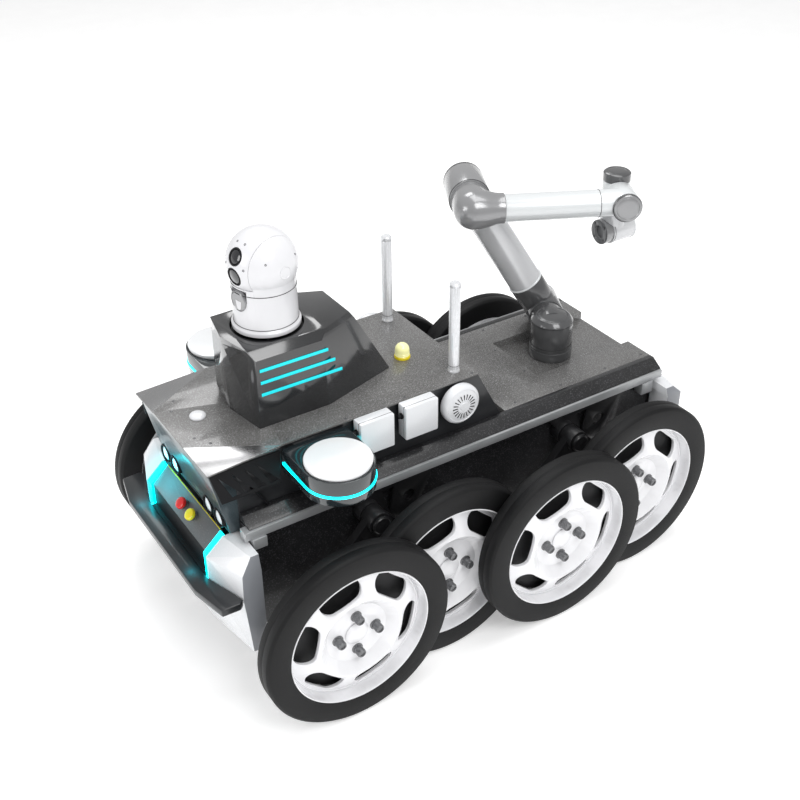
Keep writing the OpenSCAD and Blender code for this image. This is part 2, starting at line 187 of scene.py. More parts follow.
GRANITE = ((0.27, 0.27, 0.275), 420.0, 0.55)
MATS = {
    "hull_paint": material("hull_paint", (0.016, 0.017, 0.019), 0.34, coat=0.25, vary=0.2),
    "stone_panel": material("stone_panel", (0.009, 0.009, 0.010), 0.32, coat=0.25, vary=0.4,
                            speck=((0.07, 0.07, 0.075), 330.0, 0.56)),
    "deck_paint": material("deck_paint", (0.115, 0.113, 0.110), 0.26, coat=0.4, bump=0.10,
                           vary=0.16, speck=GRANITE),
    "rail_silver": material("rail_silver", (0.40, 0.41, 0.42), 0.32, metal=0.35, grain=300,
                            streak=(0.04, 1, 1)),
    "shell_white": material("shell_white", (0.74, 0.75, 0.77), 0.26, coat=0.4, vary=0.03),
    "trim_black": material("trim_black", (0.007, 0.007, 0.008), 0.5, vary=0.25, bump=0.15,
                           gloss=0.2),
    "fascia_silver": material("fascia_silver", (0.055, 0.075, 0.085), 0.28, metal=0.2, coat=0.3),
    "panel_grey": material("panel_grey", (0.11, 0.115, 0.12), 0.36, metal=0.1, coat=0.2,
                           speck=((0.18, 0.185, 0.19), 500.0, 0.58)),
    "lamp_chrome": material("lamp_chrome", (0.80, 0.81, 0.83), 0.10, metal=0.9, vary=0.03,
                            bump=0.0),
    "button_red": material("button_red", (0.70, 0.008, 0.008), 0.24, coat=0.6, vary=0.06),
    "button_yellow": material("button_yellow", (0.84, 0.66, 0.008), 0.24, coat=0.6, vary=0.06),
    "turret_grey": material("turret_grey", (0.020, 0.0205, 0.022), 0.14, coat=0.8, vary=0.2,
                            bump=0.0),
    "camera_white": material("camera_white", (0.72, 0.72, 0.74), 0.22, coat=0.5, vary=0.02,
                             bump=0.02),
    "lens_dark": material("lens_dark", (0.006, 0.006, 0.009), 0.07, coat=1.0, bump=0.0),
    "smoke_glass": material("smoke_glass", (0.016, 0.022, 0.025), 0.10, coat=0.9, bump=0.0),
    "cap_silver": material("cap_silver", (0.84, 0.85, 0.86), 0.22, metal=0.1, coat=0.4,
                           vary=0.03, grain=1500, bump=0.01),
    "light_cyan": material("light_cyan", (0.0, 0.54, 0.60), 0.3, vary=0.06, glow=0.6),
    "light_bright": material("light_bright", (0.0, 0.54, 0.60), 0.3, vary=0.06, glow=7.0),
    "beacon_yellow": material("beacon_yellow", (0.88, 0.86, 0.42), 0.18, coat=0.6, vary=0.06,
                              glow=0.25),
    "antenna_silver": material("antenna_silver", (0.74, 0.75, 0.77), 0.26, metal=0.3, coat=0.3,
                               vary=0.04, grain=500, streak=(1, 1, 0.05)),
    "suspension_black": material("suspension_black", (0.011, 0.011, 0.012), 0.36, metal=0.2,
                                 coat=0.15, vary=0.2),
    "battery_case": material("battery_case", (0.06, 0.10, 0.18), 0.5, vary=0.1),
    "controller_case": material("controller_case", (0.10, 0.12, 0.12), 0.4, metal=0.6),
    "tyre_rubber": material("tyre_rubber", (0.0045, 0.0045, 0.005), 0.55, vary=0.2, grain=1400,
                            bump=0.25, gloss=0.26),
    "rim_white": material("rim_white", (0.84, 0.84, 0.86), 0.18, coat=0.6, vary=0.02, bump=0.02),
    "arm_grey": material("arm_grey", (0.085, 0.086, 0.089), 0.22, metal=0.2, coat=0.6, vary=0.08,
                         bump=0.02),
    "arm_silver": material("arm_silver", (0.62, 0.625, 0.64), 0.25, metal=0.3, coat=0.35,
                           vary=0.03, grain=1500, bump=0.01),
    "arm_white": material("arm_white", (0.68, 0.70, 0.71), 0.24, metal=0.1, coat=0.4, vary=0.02,
                          bump=0.02),
    "flange_steel": material("flange_steel", (0.11, 0.112, 0.115), 0.3, metal=0.6, grain=600),
    # Dark finish for seams, slits and the dust covers, and painted shade inside the rims'
    # barrels.
    "seam_and_shade_dark": material("seam_and_shade_dark", (0.012, 0.012, 0.013), 0.6, vary=0.2),
    "stud_grey": material("stud_grey", (0.16, 0.162, 0.168), 0.26, metal=0.6, vary=0.08),
    "lamp_red": material("lamp_red", (0.45, 0.008, 0.008), 0.16, coat=0.8, vary=0.05),
    "band_grey": material("band_grey", (0.24, 0.25, 0.27), 0.30, coat=0.3, vary=0.05),
    # Light mirror finish for the hood's front corners: painted reflection, added to the back
    # light's real one.
    "hood_corner_painted_reflection": material("hood_corner_painted_reflection", (0.44, 0.44, 0.445), 0.20, metal=1.0, vary=0.05,
                             bump=0.0),
    "elbow_grey": material("elbow_grey", (0.28, 0.282, 0.288), 0.22, metal=0.3, coat=0.6,
                           vary=0.04, bump=0.02),
}
NODE_SLOT = {s["node"]: s["material_slot"] for s in frame["record"]["subparts"]}
BODY_OF = {n: b for b, ns in frame["record"]["behaviour"]["bodies"].items() for n in ns}
for name, obj in frame["nodes"].items():
    obj.data.materials.clear()
    obj.data.materials.append(MATS[NODE_SLOT[name]])


# ---- pieces ----
def place_in_scene(name, data):
    obj = bpy.data.objects.new(name, data)
    bpy.context.scene.collection.objects.link(obj)
    return obj


def finish_mesh(bm, name, body, look, sharp=32):
    """Turns a bmesh into a piece, smooth but for its real edges."""
    bm.normal_update()
    for f in bm.faces:
        f.smooth = True
    for e in bm.edges:
        e.smooth = len(e.link_faces) == 2 and e.calc_face_angle(0) < math.radians(sharp)
    mesh = bpy.data.meshes.new(name)
    bm.to_mesh(mesh)
    bm.free()
    piece = place_in_scene(name, mesh)
    mesh.materials.append(MATS[look])
    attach(piece, body)
    return piece


def turned(origin, axis):
    return Matrix.Translation(origin) @ axis.to_track_quat("Z", "Y").to_matrix().to_4x4()


def add_lathe(bm, origin, axis, profile, steps=64, span=None):
    """Adds a turned form. profile holds (radius, height) in mm, from one end to the other."""
    place = turned(origin, axis)
    full = span is None
    start, stop = (0, 2 * math.pi) if full else span
    rings = []
    for r, h in profile:
        if r == 0:
            rings.append([bm.verts.new(place @ Vector((0, 0, h * MM)))])
            continue
        count = steps if full else steps + 1
        angles = [start + (stop - start) * k / steps for k in range(count)]
        rings.append([bm.verts.new(place @ Vector((r * MM * math.cos(a), r * MM * math.sin(a),
                                                   h * MM))) for a in angles])
    faces = []
    for low, high in zip(rings, rings[1:]):
        for k in range(steps):
            n = (k + 1) % steps if full else k + 1
            if len(low) == 1 and len(high) == 1:
                continue
            if len(low) == 1:
                faces.append(bm.faces.new((low[0], high[n], high[k])))
            elif len(high) == 1:
                faces.append(bm.faces.new((low[k], low[n], high[0])))
            else:
                faces.append(bm.faces.new((low[k], low[n], high[n], high[k])))
    bmesh.ops.recalc_face_normals(bm, faces=faces)


def add_ring(bm, origin, axis, radius, r, height=0.0, steps=72, sides=10):
    """Adds a round ring of section radius r."""
    place = turned(origin, axis)
    loops = []
    for k in range(steps):
        a = 2 * math.pi * k / steps
        loop = []
        for j in range(sides):
            b = 2 * math.pi * j / sides
            d = radius + r * math.cos(b)
            loop.append(bm.verts.new(place @ Vector((d * MM * math.cos(a), d * MM * math.sin(a),
                                                     (height + r * math.sin(b)) * MM))))
        loops.append(loop)
    for k in range(steps):
        a, b = loops[k], loops[(k + 1) % steps]
        for j in range(sides):
            n = (j + 1) % sides
            bm.faces.new((a[j], b[j], b[n], a[n]))


def add_block(bm, centre, size, bevel=0.6, turn=None):
    """Adds a block with rounded edges. size is in mm."""
    geom = bmesh.ops.create_cube(bm, size=1.0)
    verts = geom["verts"]
    bmesh.ops.scale(bm, vec=Vector(size) * MM, verts=verts)
    edges = list({e for v in verts for e in v.link_edges})
    made = bmesh.ops.bevel(bm, geom=edges, offset=bevel * MM, segments=3, profile=0.5,
                           affect="EDGES")
    verts = list({v for f in made["faces"] for v in f.verts} | {v for v in verts if v.is_valid})
    place = Matrix.Translation(centre) @ (turn.to_4x4() if turn else Matrix.Identity(4))
    bmesh.ops.transform(bm, matrix=place, verts=verts)


def add_screw(bm, origin, axis, r, h=2.0):
    """Adds a cap screw with a hexagonal socket."""
    add_lathe(bm, origin, axis, [(0, 0), (r, 0), (r, h * 0.7), (r * 0.86, h), (r * 0.55, h)], 24)
    place = turned(origin, axis)
    rim, floor = [], []
    for k in range(24):
        a = 2 * math.pi * k / 24
        hexagon = 0.47 * math.cos(math.pi / 6) / math.cos((a % (math.pi / 3)) - math.pi / 6)
        rim.append((r * 0.55, a, h))
        floor.append((r * hexagon, a, h * 0.35))
    put = [[bm.verts.new(place @ Vector((d * MM * math.cos(a), d * MM * math.sin(a), z * MM)))
            for d, a, z in ring] for ring in (rim, floor)]
    for k in range(24):
        n = (k + 1) % 24
        bm.faces.new((put[0][k], put[0][n], put[1][n], put[1][k]))
    bm.faces.new(put[1])
    bmesh.ops.remove_doubles(bm, verts=bm.verts, dist=1e-7)


def second_finish(piece, look, wanted):
    """Gives the faces that wanted(centre, normal) picks out another finish."""
    piece.data.materials.append(MATS[look])
    for face in piece.data.polygons:
        if wanted(face.center, face.normal):
            face.material_index = len(piece.data.materials) - 1


def shell(node, width, look=None, sharp=32):
    """Stands for a CAD node with its edges rounded by width, in mm."""
    bm = bmesh.new()
    bm.from_mesh(frame["nodes"][node].data)
    bmesh.ops.remove_doubles(bm, verts=bm.verts, dist=2e-5)
    bmesh.ops.dissolve_limit(bm, angle_limit=math.radians(1.2), verts=bm.verts, edges=bm.edges)
    edges = [e for e in bm.edges
             if len(e.link_faces) == 2 and e.calc_face_angle(0) > math.radians(28)]
    bmesh.ops.bevel(bm, geom=edges, offset=width * MM, segments=2, profile=0.5,
                    affect="EDGES", clamp_overlap=True)
    piece = finish_mesh(bm, node + "_shell", BODY_OF[node], look or NODE_SLOT[node], sharp)
    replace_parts(piece, node)
    return piece


# ---- hull, decks and bumpers ----
shells = {}
HOOD_CORNER_X = at(462, 0, 0).x


def on_painted_reflection_corner(c, n):
    """Picks the drooping front corners, which are neither level nor as steep as the edges, for a
    light mirror finish that paints on their reflection.
    """
    return 0.5 < n.z < 0.9985 and abs(n.y) > 0.03 and c.x > HOOD_CORNER_X


for node, width in (("hull_tub", 1.5), ("side_rails", 1.5), ("sill_panels", 1.0),
                    ("arm_deck", 1.0), ("upper_body", 1.5), ("hood_deck", 0.8),
                    ("vent_panels", 0.5), ("front_fascia", 1.5), ("front_bumper", 3.0),
                    ("button_panel", 1.0), ("grille_bar", 0.8), ("bumper_lip", 2.5),
                    ("turret_housing", 0.8), ("side_radios", 3.0), ("rear_bumper", 3.0),
                    ("rear_panel", 1.0), ("pivot_brackets", 1.0), ("battery_pack", 4.0),
                    ("control_box", 3.0)):
    shells[node] = shell(node, width)
# The hood's drooping corners get the light mirror finish: painted reflection.
second_finish(shells["hood_deck"], "hood_corner_painted_reflection", on_painted_reflection_corner)
for node in ("front_bumper", "rear_bumper"):
    second_finish(shells[node], "band_grey", lambda c, n: abs(n.y) > 0.9)
for end in ("front", "rear"):
    for side, _ in SIDES:
        shell(f"rocker_{end}_{side}", 1.6)

# ---- wheels ----
# Turned outlines, as radius and height from the wheel's middle plane.
TYRE = [(169, -25), (218.2, -25), (219.4, -24.5), (224.5, -19.4), (225, -18.2), (225, -0.9),
        (224.5, 0), (225, 0.9), (225, 18.2), (224.5, 19.4), (219.4, 24.5), (218.2, 25),
        (171, 25), (169.6, 24.4), (169, 23), (169, -25)]
# Pressed ring that closes the rim's back, between the hub and the barrel.
DUST_COVER = [(44, -22.4), (60, -22.4), (64, -20.4), (146, -20.4), (150, -22.4), (156, -22.4),
              (156, -23.6), (149, -23.6), (145, -21.6), (65, -21.6), (61, -23.6), (44, -23.6),
              (44, -22.4)]
STUD = [(0, 0), (13, 0), (13, 3), (10.4, 4), (10.4, 20), (9, 22.6), (6, 23.2), (5.4, 21), (0, 21)]
STUD_CIRCLE_R = 46.5
HUB_CAP = [(0, 3), (21, 3), (23, 1.9), (26, 1.9), (28, 4), (24, 6.5), (10, 7.5), (0, 7.5)]


def tyre(name, body, hub, out):
    bm = bmesh.new()
    add_lathe(bm, hub, out, TYRE, 160)
    bmesh.ops.remove_doubles(bm, verts=bm.verts, dist=1e-6)
    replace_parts(finish_mesh(bm, f"tyre_{name}_shell", body, "tyre_rubber", 40), "tyre_" + name)


def rim(name, body, hub, out):
    # Picks the faces inside the barrel, behind the disc, which are painted dark: painted shade
    # seen through the windows.
    def barrel_painted_shade(c, n):
        radial = Vector((c.x - hub.x, 0, c.z - hub.z)).length
        return (c - hub).dot(out) < -8 * MM and 60 * MM < radial < 165 * MM

    second_finish(shell("rim_" + name, 1.2, sharp=30), "seam_and_shade_dark", barrel_painted_shade)


def dust_cover(name, body, hub, out):
    bm = bmesh.new()
    add_lathe(bm, hub, out, DUST_COVER, 96)
    finish_mesh(bm, "dust_cover_" + name, body, "seam_and_shade_dark")


def studs(name, body, hub, out):
    bm = bmesh.new()
    for k in range(4):
        a = math.radians(90 * k)
        spot = turned(hub, out) @ Vector((STUD_CIRCLE_R * MM * math.cos(a),
                                          STUD_CIRCLE_R * MM * math.sin(a), 1.5 * MM))
        add_lathe(bm, spot, out, STUD, 40)
    finish_mesh(bm, f"studs_{name}", body, "stud_grey")


def hub_trim(name, body, hub, out):
    """The hub's cap, with the rolled edges of the rim's lip and dish."""
    bm = bmesh.new()
    add_lathe(bm, hub, out, HUB_CAP, 56)
    add_ring(bm, hub, out, 167.4, 1.3, 24.2, 140)
    add_ring(bm, hub, out, 158.8, 2.0, -4.6, 140)
    finish_mesh(bm, f"hub_{name}", body, "rim_white")


for side, sign in SIDES:
    for i in range(1, 5):
        wheel = f"{side}_{i}"
        for part in (tyre, rim, dust_cover, studs, hub_trim):
            part(wheel, "wheel_" + wheel, middle("tyre_" + wheel), Vector((0, sign, 0)))

# ---- camera ----
BALL = at(CAMERA_X, 0, BALL_Z)
CAMERA_SIDE = Vector((-math.sin(CAMERA_YAW), math.cos(CAMERA_YAW), 0))


def lenses():
    bm, bm_glass = bmesh.new(), bmesh.new()
    for elevation, r in ((27, 19.5), (-7, 20.5)):
        look_dir = camera_dir(elevation)
        base = BALL + look_dir * LENS_SEAT * MM
        add_lathe(bm, base, look_dir, [(0, 0.3), (r - 0.4, 0.3), (r - 0.4, 3), (r - 2, 4.2),
                                       (r - 3.4, 3.2), (r - 4.4, 1), (0, 1)], 56)
        add_lathe(bm_glass, base, look_dir,
                  [(r - 4.6, 1), (r - 5.4, 2.6), (r - 9, 3.9), (0, 4.7)], 56)
    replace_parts(finish_mesh(bm, "lens_barrels", "camera_tilt", "trim_black"), "camera_lenses")
    finish_mesh(bm_glass, "lens_glass", "camera_tilt", "lens_dark")


def head_screws():
    bm = bmesh.new()
    for elevation, side in ((50, 14), (50, -14), (10, 22), (10, -22), (-30, 14)):
        d = camera_dir(elevation, side)
        add_screw(bm, BALL + d * (BALL_R - 0.6) * MM, d, 2.6, 1.2)
    finish_mesh(bm, "head_screws", "camera_tilt", "stud_grey")


def yoke_seams():
    bm = bmesh.new()
    for z, r in ((797, 72.2), (803, 69.3), (880, 69.3)):
        add_ring(bm, at(CAMERA_X, 0, z), UP, r, 0.7)
    finish_mesh(bm, "yoke_seams", "camera_pan", "seam_and_shade_dark")


def yoke_caps():
    bm = bmesh.new()
    for s in (-1, 1):
        add_lathe(bm, BALL + CAMERA_SIDE * s * 74.6 * MM, CAMERA_SIDE * s,
                  [(14, 0), (14, 1.1), (12.6, 1.3), (12, 0.6), (0, 0.6)], 40)
    finish_mesh(bm, "yoke_caps", "camera_pan", "camera_white")


def cheek_seams():
    """The edges of the yoke's cheeks beside the ball, with three screws on each."""
    cheek_r = math.sqrt(BALL_R ** 2 - SLOT_HALF ** 2)
    bm = bmesh.new()
    for s in (-1, 1):
        out = CAMERA_SIDE * s
        add_ring(bm, BALL, out, cheek_r - 1.2, 0.9, SLOT_HALF - 0.1, 120)
        for a in (0.6, 2.6, 4.4):
            spot = (out + 0.75 * (camera_dir(0) * math.cos(a) + UP * math.sin(a))).normalized()
            add_screw(bm, BALL + spot * (BALL_R - 0.5) * MM, spot, 2.2, 1.0)
    finish_mesh(bm, "cheek_seams", "camera_pan", "seam_and_shade_dark")


def wiper_notch():
    bm = bmesh.new()
    add_lathe(bm, BALL + camera_dir(0) * 65 * MM - UP * 66 * MM, camera_dir(0),
              [(0, -3), (23, -3), (23, 4.4), (21.4, 5.2), (19.6, 3.8), (8, 3.4), (0, 3.4)], 56)
    finish_mesh(bm, "wiper_notch", "camera_pan", "elbow_grey")


def mount_screws():
    bm = bmesh.new()
    for k in range(8):
        a = math.radians(45 * k + 20)
        spot = Vector((math.cos(a), math.sin(a), 0)) * 53.5 * MM
        add_screw(bm, at(CAMERA_X, 0, 776.4) + spot, UP, 3)
    finish_mesh(bm, "mount_screws", "chassis", "stud_grey")


shell("camera_yoke", 1.2)
shell("camera_head", 0.8)
for part in (lenses, head_screws, yoke_seams, yoke_caps, cheek_seams, wiper_notch, mount_screws):
    part()

# ---- scanners ----
bm, bm_seam = bmesh.new(), bmesh.new()
for _, s in SIDES:
    foot = at(383, s * 282, 541.2)
    add_lathe(bm, foot, UP, [(0, 0), (71.6, 0), (71.6, 51), (71, 53), (69, 54), (69, 55),
                             (72, 55.6), (72, 59), (70.6, 61.2), (67, 62), (0, 62)], 128)
    add_ring(bm_seam, foot, UP, 71.8, 0.6, 52.6, 120)
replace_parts(finish_mesh(bm, "scanner_caps_shell", "chassis", "cap_silver"), "scanner_caps")
finish_mesh(bm_seam, "scanner_seams", "chassis", "seam_and_shade_dark")
shell("scanner_housings", 1.2)

# ---- light strips, brighter below the hood than on the turret ----
STRIP_SPLIT_Z = at(0, 0, 600).z
second_finish(shell("light_strips", 0.4), "light_bright", lambda c, n: c.z < STRIP_SPLIT_Z)

# ---- side boxes and speakers ----
bm_seam, bm_plug = bmesh.new(), bmesh.new()
for _, s in SIDES:
    for x in (89, 203):
        add_block(bm_seam, at(x + 42.5, s * 205, 562.5), (86, 0.8, 84), 0.2)
        add_lathe(bm_plug, at(x + 84, s * 197, 578), AHEAD,
                  [(0, 0), (7, 0), (7, 4), (5, 5), (5, 11), (4, 12), (0, 12)], 32)
finish_mesh(bm_seam, "radio_seams", "chassis", "seam_and_shade_dark")
finish_mesh(bm_plug, "radio_plugs", "chassis", "trim_black")

SPEAKER = [(0, 0), (43.5, 0), (48, 4.5), (49, 8), (49, 17.6), (47, 21.6), (43.6, 24.8),
           (40.6, 26), (39.6, 24.8), (38.4, 25), (27, 29), (14, 30.4), (13, 29.6), (11, 29.8),
           (10, 31.4), (0, 31.6)]
SLITS = 20
bm, bm_slit = bmesh.new(), bmesh.new()
for _, s in SIDES:
    out = Vector((0, s, 0))
    foot = at(17, s * 181.4, 552)
    add_lathe(bm, foot, out, SPEAKER, 96)
    for k in range(SLITS):
        a = 2 * math.pi * k / SLITS
        radial = Vector((math.cos(a), 0, math.sin(a)))
        turn = Matrix((radial, out, radial.cross(out))).transposed()
        add_block(bm_slit, foot + radial * 23.5 * MM + out * 29.6 * MM, (13, 2.0, 2.0), 0.5, turn)
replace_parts(finish_mesh(bm, "speaker_shells", "chassis", "shell_white"), "speakers")
finish_mesh(bm_slit, "speaker_slits", "chassis", "seam_and_shade_dark")

# ---- things on the hood ----
bm = bmesh.new()
add_lathe(bm, at(560, -11, HOOD_TOP + 0.2), UP,
          [(0, 0), (18, 0), (18, 3), (17, 4.4), (14.6, 6.6), (9, 7.7), (0, 8)], 56)
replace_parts(finish_mesh(bm, "position_cap_shell", "chassis", "shell_white"), "position_cap")

beacon_foot = at(62, 26, HOOD_TOP + 0.2)
DOME_R = 17
dome = [(DOME_R * math.cos(math.radians(t)), 20 + DOME_R * math.sin(math.radians(t)))
        for t in range(9, 90, 9)]
bm = bmesh.new()
add_lathe(bm, beacon_foot, UP, [(17.2, 7), (17.2, 9), (16.4, 10), (17.2, 11), (17.2, 13),
                                (16.4, 14), (17.2, 15), (17, 20), *dome, (0, 37)], 56)
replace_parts(finish_mesh(bm, "beacon_lens", "chassis", "beacon_yellow"), "beacon")
bm = bmesh.new()
add_lathe(bm, beacon_foot, UP, [(0, 0), (19, 0), (19, 5), (18, 6.6), (17.4, 7), (0, 7)], 56)
finish_mesh(bm, "beacon_base", "chassis", "button_yellow")

bm, bm_seam = bmesh.new(), bmesh.new()
for _, s in SIDES:
    foot = at(-3, s * 140, HOOD_TOP + 0.2)
    add_lathe(bm, foot, UP, [(0, 0), (14, 0), (14, 3), (13.4, 4.6), (12.6, 6), (12.5, 9),
                             (12.5, 212), (11.9, 213), (12.5, 214), (12.5, 221), (10, 224),
                             (0, 224)], 56)
    add_ring(bm_seam, foot, UP, 12.5, 0.6, 16, 48)
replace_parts(finish_mesh(bm, "antenna_tubes", "chassis", "antenna_silver"), "antennas")
finish_mesh(bm_seam, "antenna_seams", "chassis", "seam_and_shade_dark")

HOOD_SCREWS = ((440, 168), (300, 172), (150, 172), (-30, 172), (580, 95), (600, 60))
DECK_SCREWS = ((-570, 160), (-450, 160), (-310, 160), (-170, 160), (-275, 60), (-145, 60))
bm = bmesh.new()
for spots, z in ((HOOD_SCREWS, HOOD_TOP), (DECK_SCREWS, DECK_TOP)):
    for x, y in spots:
        for _, s in SIDES:
            add_screw(bm, at(x, s * y, z - 0.2), UP, 3.2, 1.2)
finish_mesh(bm, "deck_screws", "chassis", "stud_grey")

# ---- front end ----
LAMP_YS = (86, 139)
bm, bm_glass = bmesh.new(), bmesh.new()
for _, s in SIDES:
    for y in LAMP_YS:
        foot = at(578.2, s * y, 445)
        add_lathe(bm, foot, AHEAD, [(0, 0), (22.8, 0), (22.8, 21), (21.8, 22.8), (20.2, 22.8),
                                    (19.2, 21), (19, 14), (0, 14)], 64)
        add_lathe(bm_glass, foot, AHEAD,
                  [(18.2, 14.2), (18.2, 17), (16, 19.5), (10, 21.8), (0, 22.8)], 56)
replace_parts(finish_mesh(bm, "lamp_bezels", "chassis", "trim_black"), "headlights")
finish_mesh(bm_glass, "lamp_lenses", "chassis", "camera_white")

panel_normal = Vector((math.sin(PANEL_TILT), 0, math.cos(PANEL_TILT)))
for name, y in (("red", -6), ("yellow", 42)):
    bm = bmesh.new()
    add_lathe(bm, at(617.5, y, 392), panel_normal,
              [(0, -14), (6.9, -14), (6.9, 9), (13, 9), (14, 10), (14, 13.4), (12.6, 16.2),
               (9, 17.6), (0, 18)], 56)
    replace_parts(finish_mesh(bm, f"{name}_cap", f"{name}_button", f"button_{name}"),
                f"{name}_button")
bm = bmesh.new()
add_block(bm, at(598, 0, 412.6), (1.8, 276, 1.6), 0.4)
finish_mesh(bm, "warning_line", "chassis", "button_yellow")

# ---- rear end ----
bm = bmesh.new()
for s in (-1, 1):
    add_block(bm, at(REAR_FACE - 2.4, s * 110, 240), (2.4, 36, 13), 0.9)
finish_mesh(bm, "tail_lamps", "chassis", "lamp_red")
bm = bmesh.new()
for y in (-140, 140):
    for z in (228, 352):
        add_screw(bm, at(REAR_FACE, y, z), -AHEAD, 3.4, 1.8)
add_lathe(bm, at(REAR_FACE, 0, 290), -AHEAD,
          [(22, -3), (27, -1), (27, 1.6), (25, 2.6), (23, 2.2), (22, 0), (22, -3)], 64)
finish_mesh(bm, "port_ring", "chassis", "stud_grey")

# ---- suspension trim ----
bm = bmesh.new()
for _, s in SIDES:
    for x in (-280, 280):
        add_lathe(bm, at(x, s * 280, 375), Vector((0, s, 0)),
                  [(0, 0), (21, 0), (19, 2), (10, 2.6), (8, 1.6), (0, 1.6)], 48)
finish_mesh(bm, "pivot_caps", "chassis", "suspension_black")

# ---- arm ----
UPPER_AXIS = (ARM_FWD * math.cos(UPPER_SLOPE) + UP * math.sin(UPPER_SLOPE)).normalized()
UPPER_FOOT = on_arm(0, UPPER_Y, SHOULDER_Z)
SHOULDER_END = on_arm(0, UPPER_Y - 50, SHOULDER_Z)
ELBOW_END = on_arm(ELBOW_X, UPPER_Y - 58, ELBOW_Z)
ELBOW_MIDDLE = on_arm(ELBOW_X, FORE_Y, ELBOW_Z)
TOOL_MIDDLE = on_arm(WRIST_X, WRIST_Y, TOOL_Z)


def along_upper(c):
    """How far up the upper arm a point is, in mm."""
    return (c - UPPER_FOOT).dot(UPPER_AXIS) / MM


def in_elbow(c, n):
    return (c - ELBOW_MIDDLE).dot(ARM_FWD) > -73 * MM


def on_flange_side(c, n):
    return abs(n.dot(TOOL_DIR)) < 0.3


for node, width, look in (("arm_base", 1.6, "arm_grey"), ("arm_shoulder", 1.6, "arm_grey"),
                          ("upper_arm", 1.6, "arm_silver"), ("forearm", 1.6, "arm_white"),
                          ("wrist_housing", 1.6, "arm_white"), ("tool_wrist", 1.6, "arm_silver"),
                          ("tool_flange", 0.8, "flange_steel")):
    shells[node] = shell(node, width, look)
second_finish(shells["tool_flange"], "elbow_grey", on_flange_side)
second_finish(shells["forearm"], "elbow_grey", in_elbow)
second_finish(shells["upper_arm"], "arm_grey", lambda c, n: along_upper(c) < 96)
second_finish(shells["upper_arm"], "elbow_grey", lambda c, n: along_upper(c) > UPPER_LEN - 51)


def lid(bm, origin, axis, r):
    """A joint's end cover, with a stepped edge."""
    add_lathe(bm, origin, axis, [(r - 1.5, -3), (r - 1.5, 1.2), (r - 4, 3), (r - 7, 3.4),
                                 (r - 8, 2.4), (r - 9, 3), (r * 0.5, 4), (0, 4.2)], 72)


def band(bm, origin, axis, r, depth):
    """The band round a joint's end cover."""
    add_lathe(bm, origin, axis, [(r, -depth), (r + 0.6, 0.6 - depth), (r + 0.6, -0.8),
                                 (r - 0.6, 0.6), (r - 2.4, 1.6)], 72)


# Each body's lids: place, axis, radius, depth of the band, finish.
LIDS = {
    "arm_1": [(on_arm(0, 0, 555), UP, 46, 3, "arm_grey")],
    "arm_2": [(SHOULDER_END, -ARM_SIDE, 46, 3, "arm_grey"),
              (ELBOW_END, -ARM_SIDE, 50, 9, "elbow_grey")],
    "arm_3": [(on_arm(WRIST_X, FORE_Y + 39, ELBOW_Z), ARM_SIDE, 35, 7, "elbow_grey")],
    "arm_4": [(on_arm(WRIST_X, WRIST_Y, ELBOW_Z + 46), UP, 33, 20, "arm_grey")],
    "arm_5": [(TOOL_MIDDLE - TOOL_DIR * 50 * MM, -TOOL_DIR, 33, 3, "arm_white")],
}
for body, places in LIDS.items():
    bm_band = bmesh.new()
    for k, (origin, axis, r, depth, look) in enumerate(places):
        bm = bmesh.new()
        lid(bm, origin, axis, r)
        finish_mesh(bm, f"{body}_lid_{k}", body, look)
        band(bm_band, origin, axis, r, depth)
    finish_mesh(bm_band, body + "_bands", body, "arm_white" if body == "arm_5" else "arm_grey")

bm = bmesh.new()
add_ring(bm, UPPER_FOOT, UPPER_AXIS, 43.6, 2.6, 97)
finish_mesh(bm, "upper_collar", "arm_2", "arm_white")
bm = bmesh.new()
add_lathe(bm, UPPER_FOOT, UPPER_AXIS, [(44, 40), (44.6, 42), (44.6, 92), (44, 94)], 72)
add_lathe(bm, SHOULDER_END, ARM_SIDE, [(46, 2), (46.6, 4), (46.6, 96), (46, 98)], 72)
finish_mesh(bm, "shoulder_sleeves", "arm_2", "arm_grey")
bm = bmesh.new()
add_lathe(bm, ELBOW_END, ARM_SIDE, [(50, 2), (50.6, 4), (50.6, 111), (50, 113)], 72)
finish_mesh(bm, "elbow_drum", "arm_2", "elbow_grey")
bm = bmesh.new()
add_lathe(bm, ELBOW_MIDDLE, -ARM_FWD, [(48.2, 0), (47, 14), (43, 34), (38, 52), (36.6, 62),
                                       (36.6, 71), (35.6, 72.4), (33, 72.4)], 72)
finish_mesh(bm, "elbow_sleeve", "arm_3", "elbow_grey")

# Each body's seams: place, axis, radius, thickness, height along the axis.
ARM_SEAMS = {
    "arm_1": [(on_arm(0, 0, 482), UP, 53.1, 0.8, 0), (on_arm(0, 0, 542), UP, 53.1, 0.8, 0)],
    "arm_2": [(on_arm(ELBOW_X, UPPER_Y + 54, ELBOW_Z), ARM_SIDE, 50.6, 0.8, 0),
              (UPPER_FOOT, UPPER_AXIS, 43.2, 0.8, 330)],
    "arm_3": [(on_arm(ELBOW_X - 300, FORE_Y, ELBOW_Z), ARM_FWD, 33.1, 0.7, 0)],
    "arm_4": [(on_arm(WRIST_X, WRIST_Y, ELBOW_Z - 36), UP, 33.1, 0.7, 0)],
    "arm_5": [(TOOL_MIDDLE + TOOL_DIR * 14 * MM, TOOL_DIR, 33.1, 0.7, 0)],
}
for body, seams in ARM_SEAMS.items():
    bm = bmesh.new()
    for seam in seams:
        add_ring(bm, *seam)
    finish_mesh(bm, body + "_seams", body, "seam_and_shade_dark")

# ---- floor, light and camera ----
FLOOR_HALF = 40.0  # metres
bm = bmesh.new()
bmesh.ops.create_grid(bm, x_segments=2, y_segments=2, size=FLOOR_HALF)
mesh = bpy.data.meshes.new("floor")
bm.to_mesh(mesh)
bm.free()
floor = place_in_scene("floor", mesh)
mesh.materials.append(material("floor_pale", (0.92, 0.92, 0.92), 0.7, vary=0.01, bump=0.0,
                               glow=0.38))

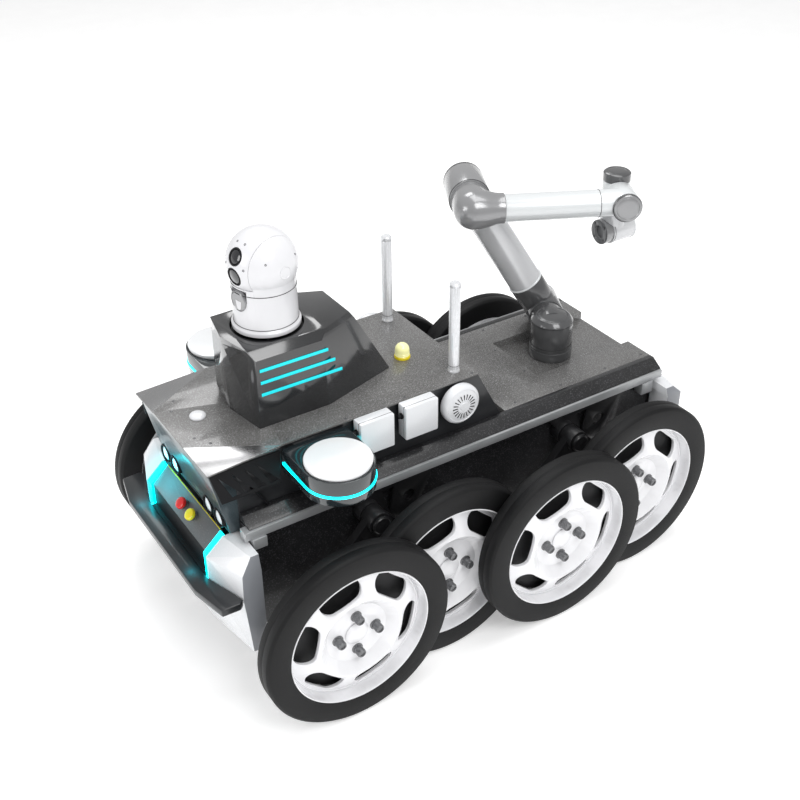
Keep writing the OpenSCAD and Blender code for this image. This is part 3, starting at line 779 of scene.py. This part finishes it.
# The world lights the part softly, and the camera sees it as plain white.
WHITE = (1.0, 1.0, 1.0, 1)
world = bpy.data.worlds.new("studio")
world.use_nodes = True
sky = world.node_tree
fill = sky.nodes["Background"]
fill.inputs["Color"].default_value = WHITE
fill.inputs["Strength"].default_value = 0.52
backdrop = sky.nodes.new("ShaderNodeBackground")
backdrop.inputs["Color"].default_value = WHITE
path = sky.nodes.new("ShaderNodeLightPath")
choice = sky.nodes.new("ShaderNodeMixShader")
sky.links.new(path.outputs["Is Camera Ray"], choice.inputs["Fac"])
sky.links.new(fill.outputs["Background"], choice.inputs[1])
sky.links.new(backdrop.outputs["Background"], choice.inputs[2])
sky.links.new(choice.outputs["Shader"], sky.nodes["World Output"].inputs["Surface"])
bpy.context.scene.world = world


def area_light(name, place, target, size, power):
    data = bpy.data.lights.new(name, "AREA")
    data.shape = "RECTANGLE"
    data.size, data.size_y = size
    data.energy = power
    lamp = place_in_scene(name, data)
    lamp.location = place
    lamp.rotation_euler = (Vector(target) - Vector(place)).to_track_quat("-Z", "Y").to_euler()


area_light("key", (0.2, 3.4, 4.2), (0, 0, 0.4), (2.4, 2.4), 105)
area_light("top", (-0.6, 0.0, 4.6), (0, 0, 0.5), (3.2, 2.2), 70)
area_light("front", (4.2, 0.0, 2.2), (0, 0, 0.5), (1.8, 1.8), 45)
area_light("back", (-0.56, -2.72, 3.88), (0.55, 0.15, 0.6), (1.7, 1.7), 44)


def strip_glow(name, place, power):
    """The cyan light that a front strip throws on what is beside it."""
    data = bpy.data.lights.new(name, "POINT")
    data.energy = power
    data.color = (0.02, 0.85, 1.0)
    data.shadow_soft_size = 15 * MM
    lamp = place_in_scene(name, data)
    lamp.location = place
    lamp.visible_glossy = False
    lamp.visible_camera = False


strip_glow("panel_glow", at(655, -92, 436), 0.55)
strip_glow("far_lip_glow", at(668, -150, 328), 0.16)
strip_glow("near_lip_glow", at(672, 126, 324), 0.16)

# The main view: the turn about the upright, the height above level and the roll.
VIEW_TURN = math.radians(57.526)
VIEW_RISE = math.radians(33.356)
VIEW_ROLL = math.radians(-0.645)
VIEW_PLACE = (1321.3, 1993.0, 2022.1)
VIEW_LENS = 53.216
back = Vector((math.cos(VIEW_TURN) * math.cos(VIEW_RISE),
               math.sin(VIEW_TURN) * math.cos(VIEW_RISE), math.sin(VIEW_RISE)))
level = Vector((-math.sin(VIEW_TURN), math.cos(VIEW_TURN), 0))
rise = back.cross(level)
right = level * math.cos(VIEW_ROLL) + rise * math.sin(VIEW_ROLL)
top = rise * math.cos(VIEW_ROLL) - level * math.sin(VIEW_ROLL)
view = bpy.data.cameras.new("camera")
view.lens = VIEW_LENS
view.sensor_width = 36.0
view.clip_end = 100
camera = place_in_scene("camera", view)
turn = Matrix((right, top, back)).transposed().to_4x4()
camera.matrix_world = Matrix.Translation(at(*VIEW_PLACE)) @ turn
bpy.context.scene.camera = camera
bpy.context.scene.view_settings.view_transform = "Standard"
